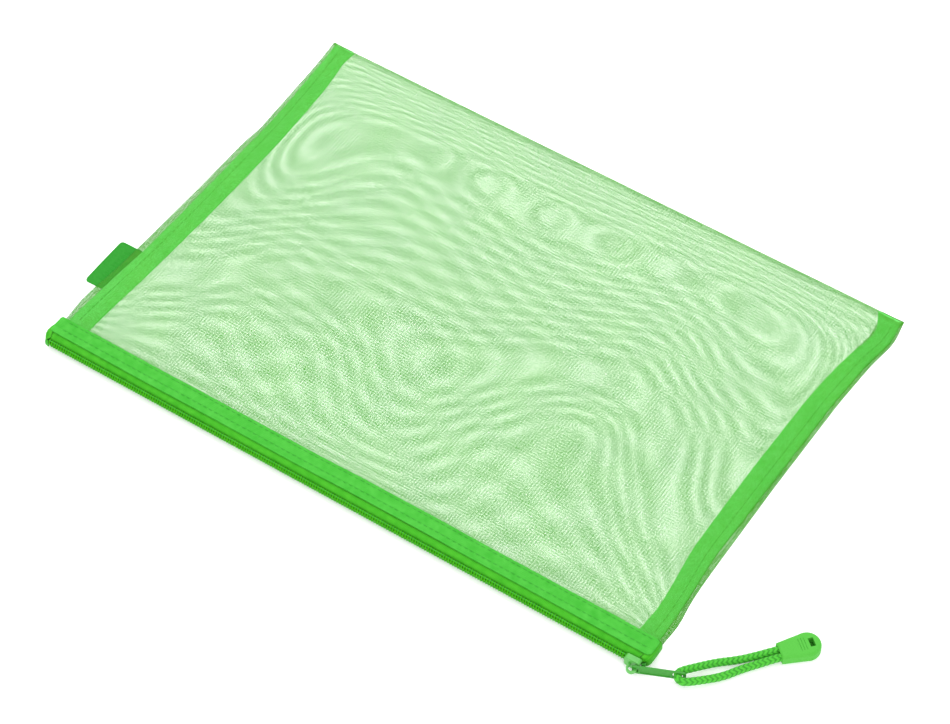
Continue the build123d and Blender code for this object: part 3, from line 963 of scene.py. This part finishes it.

# %% [markdown]
# ## How the lips part
# The slider's divider holds the two sides of the chain apart where the slider stands, and the open chain
# draws right back against the tapes. Bones could part every turn by itself, at far more work. Here the
# turns that the slider covers at its open stop are a piece of their own.

# %% Lips of the zip
slider_low = span("slider_body")[0][0]
slider_travel, slider_cover = 325.6, 8.4
stop_x = slider_low - slider_travel + slider_cover
open_hold, open_keep = 2.95, 0.35
divider_hold, divider_keep = 2.8, 0.655
divider_from, divider_run = 1.5, 2.5


def parted_by_slider(level, x):
    """Height above the chain's middle, drawn aside by the divider of the closed slider."""
    share = ease((x - slider_low - divider_from) / divider_run) * (1 - divider_keep)
    return level + share * (divider_hold - level)


def part_lips(pieces):
    """Gives the open chain and the turns in the slider each a mesh of its own."""
    for piece, hold, keep in zip(pieces, (open_hold, divider_hold), (open_keep, divider_keep)):
        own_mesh(piece)


print("slider covers the chain's first turns up to x", round(stop_x, 1), "mm")

# %% [markdown]
# ## Zip coils
# A nylon coil is one thread wound flat round a core, and each turn hooks between two turns of the other
# side. A screw modifier would wind it, but not with a head that is a little wider and hooks over. So
# every turn is a closed loop of round wire that leans along the chain.

# %% Zip coils
turn_pitch, wire_sides = 1.4, 8
loop_middle, loop_reach = 1.0, 0.68
wire_radius, head_extra, head_below, turn_lean = 0.27, 0.05, 0.6, 0.16


def loop_line():
    """Middle of the wire in one turn, as points (depth, height above the chain's middle)."""
    line = []
    for first, last, level, rise in ((0, 180, 1.62, 0.3), (180, 360, 0.1, 0.34)):
        for a in np.radians(np.linspace(first, last, 6)):
            line.append((loop_middle - loop_reach * math.cos(a), level + rise * math.sin(a)))
    return np.array(line)


def wire_turn(x, sign):
    line = loop_line()
    m = len(line)
    way = np.roll(line, -1, 0) - np.roll(line, 1, 0)
    way /= np.linalg.norm(way, axis=1)[:, None]
    side = np.stack([way[:, 1], -way[:, 0]], 1)
    ring_angle = circle(wire_sides)
    wire = wire_radius + head_extra * ease(head_below - line[:, 1])
    lean = turn_lean * np.cos(np.linspace(0, 2 * math.pi, m, endpoint=False))
    offset = np.cos(ring_angle)[None, :, None] * side[:, None, :] * wire[:, None, None]
    verts = np.zeros((m, wire_sides, 3))
    verts[:, :, 0] = x + lean[:, None] + np.sin(ring_angle)[None, :] * wire[:, None]
    verts[:, :, 1] = front_y + line[:, 0][:, None] + offset[:, :, 0]
    verts[:, :, 2] = chain_z + sign * parted_by_slider(line[:, 1][:, None] + offset[:, :, 1], x)
    if sign < 0:
        verts = verts[:, ::-1]
    faces, uvs = [], []
    for a in range(m):
        b = (a + 1) % m
        for c in range(wire_sides):
            d = (c + 1) % wire_sides
            faces.append((a * wire_sides + c, a * wire_sides + d, b * wire_sides + d, b * wire_sides + c))
            uvs += [(a, c), (a, c + 1), (a + 1, c + 1), (a + 1, c)]
    return turn_in(verts).reshape(-1, 3), faces, uvs


def coil(name, node, sign, shift):
    low, high = span(node)
    open_turns, stop_turns = [], []
    for i in range(int((high[0] - low[0] - turn_pitch) / turn_pitch)):
        x = low[0] + turn_pitch / 2 + i * turn_pitch + shift
        chosen = open_turns if x > stop_x else stop_turns
        chosen.append(wire_turn(x, sign))
    chain = add_piece(name, *joined(open_turns), "pouch", [node], "coil", coil_nylon)
    stop = add_piece(name + "_stop", *joined(stop_turns), "pouch", [node], "coil", coil_nylon)
    part_lips((chain, stop))


coil("upper_coil", "upper_zip_coil", 1, 0.0)
coil("lower_coil", "lower_zip_coil", -1, turn_pitch / 2)

# %% [markdown]
# ## Coil cores
# The core is the twisted cord that each coil is wound round. Only its ends could ever be seen, so two
# strands are hinted at by a section that isn't quite round and turns along the cord.

# %% Coil cores
core_radius, core_sides, core_round, core_twist, core_around = 0.29, 10, 0.06, 5, 1.9


def core(name, node, sign):
    low, high = span(node)
    ring_angle = circle(core_sides)
    y0, z0 = (low[1] + high[1]) / 2, (low[2] + high[2]) / 2
    pieces = []
    for ending, x in (("", np.linspace(stop_x, high[0], 300)), ("_stop", np.linspace(low[0], stop_x, 20))):
        rings = []
        for value in x:
            radius = core_radius * (1 + core_round * np.sin(2 * ring_angle + value * core_twist))
            level = parted_by_slider(abs(z0 - chain_z), value)
            z = chain_z + sign * level + radius * np.sin(ring_angle)
            rings.append(np.stack([np.full(core_sides, value), y0 + radius * np.cos(ring_angle), z], 1))
        tube = swept(turn_in(rings), x, np.linspace(0, core_around, core_sides + 1))
        pieces.append(add_piece(name + ending, *tube, "pouch", [node], "thread", thread_cloth))
    part_lips(pieces)


core("upper_core", "upper_coil_core", 1)
core("lower_core", "lower_coil_core", -1)

# %% [markdown]
# ## One stitch
# Every stitch is a short length of thread that dips into the cloth at both ends. A dashed line in the
# ribbon's look would be flat from the side, so each stitch is a small closed body, fullest in the
# middle.

# %% One stitch
thread_sides, stitch_rise, stitch_sink = 8, 0.75, 0.3
end_share, middle_share = 0.55, 0.45


def thread_bit(start, end, up, thick):
    start, end, up = (np.asarray(v, float) for v in (start, end, up))
    way = (end - start) / np.linalg.norm(end - start)
    side = np.cross(way, up)
    share = np.array([0.0, 0.12, 0.3, 0.5, 0.7, 0.88, 1.0])
    rise = thick * (np.sin(math.pi * share) ** 0.5 * stitch_rise - stitch_sink)
    ring_angle = circle(thread_sides)
    rings = []
    for t, r in zip(share, rise):
        middle = start + (end - start) * t + up * r
        full = middle_share * math.sin(math.pi * t) ** 0.4 if 0 < t < 1 else 0.0
        fat = thick / 2 * (end_share + full)
        beside = np.cos(ring_angle)[:, None] * side * fat
        rings.append(middle + beside + np.sin(ring_angle)[:, None] * up * fat)
    long = np.linalg.norm(end - start)
    return swept(np.array(rings)[:, ::-1], share * long, np.linspace(0, math.pi * thick, thread_sides + 1))


def stitch_piece(name, node, bits):
    parts = [thread_bit(*bit) for bit in bits]
    return add_piece(name, *joined(parts), "pouch", [node], "thread", thread_cloth)


print("a stitch of", stitch_length, "mm every", stitch_step, "mm")

# %% [markdown]
# ## Rows of stitches
# Two rows hold each ribbon and one row holds each binding. An array modifier would set them on a
# straight line, but the rows follow the sway of the ribbon and the waves of the seam, so each stitch is
# placed on them in a loop. The lower ribbon's stitches lie on its tape, inside the mouth.

# %% Rows of stitches
up = (0, 0, 1)
ribbon_thread, seam_thread = 0.36, 0.34
ribbon_first, ribbon_last, seam_first, seam_last = -163.8, 163.0, -100.0, 112.0
in_ribbon, above_tape, above_seam = 0.1, 0.28, 0.72
stitch_x = np.arange(ribbon_first, ribbon_last, stitch_step)
upper_bits, lower_bits = [], []
inside_z = chain_z - tape_level + above_tape
for row in stitch_rows:
    for value in stitch_x:
        y = ribbon_high[1] - row + ribbon_sway(value) * upper_sway
        z = ribbon_high[2] - in_ribbon + ribbon_lift(value)
        upper_bits.append(((value, y, z), (value + stitch_length, y, z), up, ribbon_thread))
        y = ribbon_high[1] - row
        lower_bits.append(((value, y, inside_z), (value + stitch_length, y, inside_z), up, ribbon_thread))
stitch_piece("upper_ribbon_stitches", "upper_mouth_stitches", upper_bits)
stitch_piece("lower_ribbon_stitches", "lower_mouth_stitches", lower_bits)


def seam_bits(side, row):
    bits = []
    for value in np.arange(seam_first, seam_last, stitch_step):
        x = side * np.interp(value, binding_y, row)
        z = float(seam_z(value)) + above_seam
        bits.append(((x, value, z), (x, value + stitch_length, z), up, seam_thread))
    return bits


stitch_piece("left_stitches", "left_seam_stitches", seam_bits(-1, left_row))
stitch_piece("right_stitches", "right_seam_stitches", seam_bits(1, right_row))

# %% [markdown]
# ## End tacks
# A tack closes the chain at each end, so that the slider stays on. It is a bar of close stitches across
# both coils. A block would be enough to stop the slider, but as four threads it matches the sewing
# around it.

# %% End tacks
tack_count, tack_thread, tack_slant, tack_margin, tack_sunk = 4, 0.5, 0.12, 0.2, 0.25
for name, node in (("left_tack", "left_end_tack"), ("right_tack", "right_end_tack")):
    low, high = span(node)
    front = low[1] + tack_sunk
    parts = []
    for value in np.linspace(low[0] + tack_margin, high[0] - tack_margin, tack_count):
        start, end = (value, front, low[2]), (value + tack_slant, front, high[2])
        verts, faces, uvs = thread_bit(start, end, (0, -1, 0), tack_thread)
        parts.append((turn_in(verts), faces, uvs))
    add_piece(name, *joined(parts), "pouch", [node], "thread", thread_cloth)

# %% [markdown]
# ## Side label
# A plain soft tab is caught in the left seam. It has a raised rim and a row of short grip ribs, and it
# bends down a little towards its tip. Ribs could be a bump in its look, but a moulded tab has a real
# edge that catches the light, so the rim and ribs are heights on a fine grid.

# %% Heights on the label
label_low, label_high = span("side_label")
label_wide, label_long = label_high[0] - label_low[0], label_high[1] - label_low[1]
label_columns, label_rows = 60, 80
label_corner = 2.0
rim_height, rim_width, rim_slope = 0.24, 0.9, 0.35
rib_height, rib_count, rib_first, rib_step, rib_middle = 0.3, 9, 5.0, 2.5, 7.0
rib_half_long, rib_end_slope, rib_half_wide, rib_slope = 1.2, 0.3, 0.42, 0.25
edge_drop, edge_radius, tip_droop, side_wave, wave_length = 0.3, 0.4, 0.45, 0.12, 6.0
label_x, label_y = np.meshgrid(
    np.linspace(0, label_wide, label_columns), np.linspace(0, label_long, label_rows), indexing="ij",
)
inset = rounded_end(label_x, label_corner)
label_y = inset + label_y / label_long * (label_long - 2 * inset)
edge = np.minimum(np.minimum(label_x, label_y - inset), label_long - inset - label_y)
rim = rim_height * (1 - ease((edge - rim_width) / rim_slope))
rib_ends = 1 - ease((np.abs(label_x - rib_middle) - rib_half_long) / rib_end_slope)
ribs = np.zeros_like(label_x)
for k in range(rib_count):
    off = np.abs(label_y - (rib_first + k * rib_step))
    ribs += rib_height * (1 - ease((off - rib_half_wide) / rib_slope)) * rib_ends
rounded = edge_drop * (1 - quarter_round(edge / edge_radius))
droop = -tip_droop * ((label_wide - label_x) / label_wide) ** 2
droop = droop + side_wave * np.sin(label_y / wave_length)
print("label", round(label_wide, 1), "by", round(label_long, 1), "mm with", rib_count, "ribs")

# %% [markdown]
# The tab is closed like a pillow: the upper face, the lower face turned over, and a wall of faces round
# their edges.

# %% Side label
upper_inset, lower_inset = 0.12, 0.05


def label_face(z):
    return np.stack([label_low[0] + label_x, label_low[1] + label_y, z], 2)


def label_point(face, i, j):
    """Number of a point on the upper (0) or lower (1) face."""
    column = label_columns - 1 - i if face == 0 else i
    return face * label_columns * label_rows + column * label_rows + j


def label_tab():
    upper = label_face(label_high[2] - upper_inset + rim + ribs - rounded + droop)
    lower = label_face(label_low[2] + lower_inset + rounded + droop)
    flat = np.stack([label_x, label_y], 2)
    verts, faces, uvs = joined([grid(upper[::-1], flat[::-1]), grid(lower, flat)])
    loop = [(0, j) for j in range(label_rows - 1)]
    loop += [(i, label_rows - 1) for i in range(label_columns - 1)]
    loop += [(label_columns - 1, j) for j in range(label_rows - 1, 0, -1)]
    loop += [(i, 0) for i in range(label_columns - 1, 0, -1)]
    for a, b in zip(loop, loop[1:] + loop[:1]):
        faces.append((label_point(0, *a), label_point(0, *b), label_point(1, *b), label_point(1, *a)))
        uvs += [tuple(flat[a]), tuple(flat[b]), tuple(flat[b]), tuple(flat[a])]
    return verts, faces, uvs


add_piece("label_tab", *label_tab(), "pouch", ["side_label"], "label", label_rubber)

# %% [markdown]
# ## Slider, bail, pull tab and cord end
# These are rigid, so the CAD solids are kept instead of being built again. A small bevel takes the
# sharpness off their edges, as casting and paint do, and weighted normals keep the flat faces flat.

# %% Rigid pieces
sharp_angle, bevel_steps = math.radians(40), 2
# The slider and its bail take the lighter copy of the enamel, a painted highlight.
for node, finish, width, slot in (
    ("slider_body", enamel_painted_highlight, 0.16, "slider"), ("slider_bail", enamel_painted_highlight, 0.2, "slider"),
    ("pull_tab", enamel, 0.14, "slider"), ("cord_end", grip_plastic, 0.2, "grip"),
):
    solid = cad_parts[node]
    solid.data.materials.clear()
    solid.data.materials.append(finish)
    bevel = solid.modifiers.new("edge", "BEVEL")
    bevel.width = width * MM
    bevel.segments = bevel_steps
    bevel.limit_method = "ANGLE"
    bevel.angle_limit = sharp_angle
    solid.data.polygons.foreach_set("use_smooth", np.ones(len(solid.data.polygons), bool))
    solid.modifiers.new("normals", "WEIGHTED_NORMAL")
    print(node, "kept, edges rounded by", width, "mm")

# %% [markdown]
# ## Table
# The table is white, as for a catalogue photograph. In the photograph, strong light comes up through the
# mesh. More lamps above can't do that, because the threads shade the table under them. So a soft light
# panel lies in the table under the sheet, a little stronger at the back, and the rest of the table glows
# only enough to keep shadows faint.

# %% Table with a light panel
panel_middle, panel_reach, panel_fade = (0.0, 0.013), (0.188, 0.125), 0.02
glow_base, glow_front, glow_back, glow_back_at = 0.3, 0.75, 0.87, 0.1
table_reach, table_drop = 6.0, 0.00005
floor_look, floor_tree, floor_shader = look("floor", 0.9)
shade(floor_tree, floor_shader, noise(floor_tree, 3), (0.93, 0.93, 0.93), (0.95, 0.95, 0.95))
floor_shader.inputs["Emission Color"].default_value = (1, 0.85, 1, 1)
floor_place = put(floor_tree, "ShaderNodeSeparateXYZ")
floor_tree.links.new(put(floor_tree, "ShaderNodeTexCoord").outputs["Object"], floor_place.inputs[0])
panel = 1.0
for value, middle, reach in zip(floor_place.outputs, panel_middle, panel_reach):
    beyond = calc(floor_tree, "ABSOLUTE", calc(floor_tree, "SUBTRACT", value, middle))
    lit = ramp(floor_tree, beyond, reach - panel_fade, reach, 1.0, 0.0, "SMOOTHSTEP")
    panel = calc(floor_tree, "MULTIPLY", lit, panel)
strength = ramp(floor_tree, floor_place.outputs[1], 0.0, glow_back_at, glow_front, glow_back, "SMOOTHSTEP")
glow = calc(floor_tree, "MULTIPLY_ADD", panel, strength, glow_base)
floor_tree.links.new(glow, floor_shader.inputs["Emission Strength"])
floor_mesh = bpy.data.meshes.new("floor")
corners = [(x * table_reach, y * table_reach, 0) for x, y in ((-1, -1), (1, -1), (1, 1), (-1, 1))]
floor_mesh.from_pydata(corners, [], [(0, 1, 2, 3)])
floor_mesh.materials.append(floor_look)
floor = bpy.data.objects.new("floor", floor_mesh)
bpy.context.scene.collection.objects.link(floor)
floor.location.z = -table_drop
print("table", 2 * table_reach, "m wide")

# %% [markdown]
# ## Studio light
# A white room of soft light and two large lamps stand for the photographer's tent. One hard lamp would
# draw shadows that the photograph doesn't have. The plain Standard view keeps the greens as they are
# painted.

# %% Studio light
room_light, key_power, fill_power = 0.85, 9, 5
world = bpy.data.worlds.new("studio")
bpy.context.scene.world = world
world.use_nodes = True
world.node_tree.nodes["Background"].inputs["Color"].default_value = (1, 1, 1, 1)
world.node_tree.nodes["Background"].inputs["Strength"].default_value = room_light * studio


def lamp(name, place, size, power):
    data = bpy.data.lights.new(name, "AREA")
    data.size = size
    data.energy = power
    made = bpy.data.objects.new(name, data)
    made.location = place
    made.rotation_mode = "QUATERNION"
    made.rotation_quaternion = (-Vector(place)).to_track_quat("-Z", "Y")
    bpy.context.scene.collection.objects.link(made)
    print(name, round(power, 1), "W")


lamp("key_light", (-0.7, 0.5, 1.5), 1.2, key_power * studio)
lamp("fill_light", (0.9, -0.9, 1.3), 1.4, fill_power * studio)
bpy.context.scene.view_settings.view_transform = "Standard"
bpy.context.scene.view_settings.look = "None"
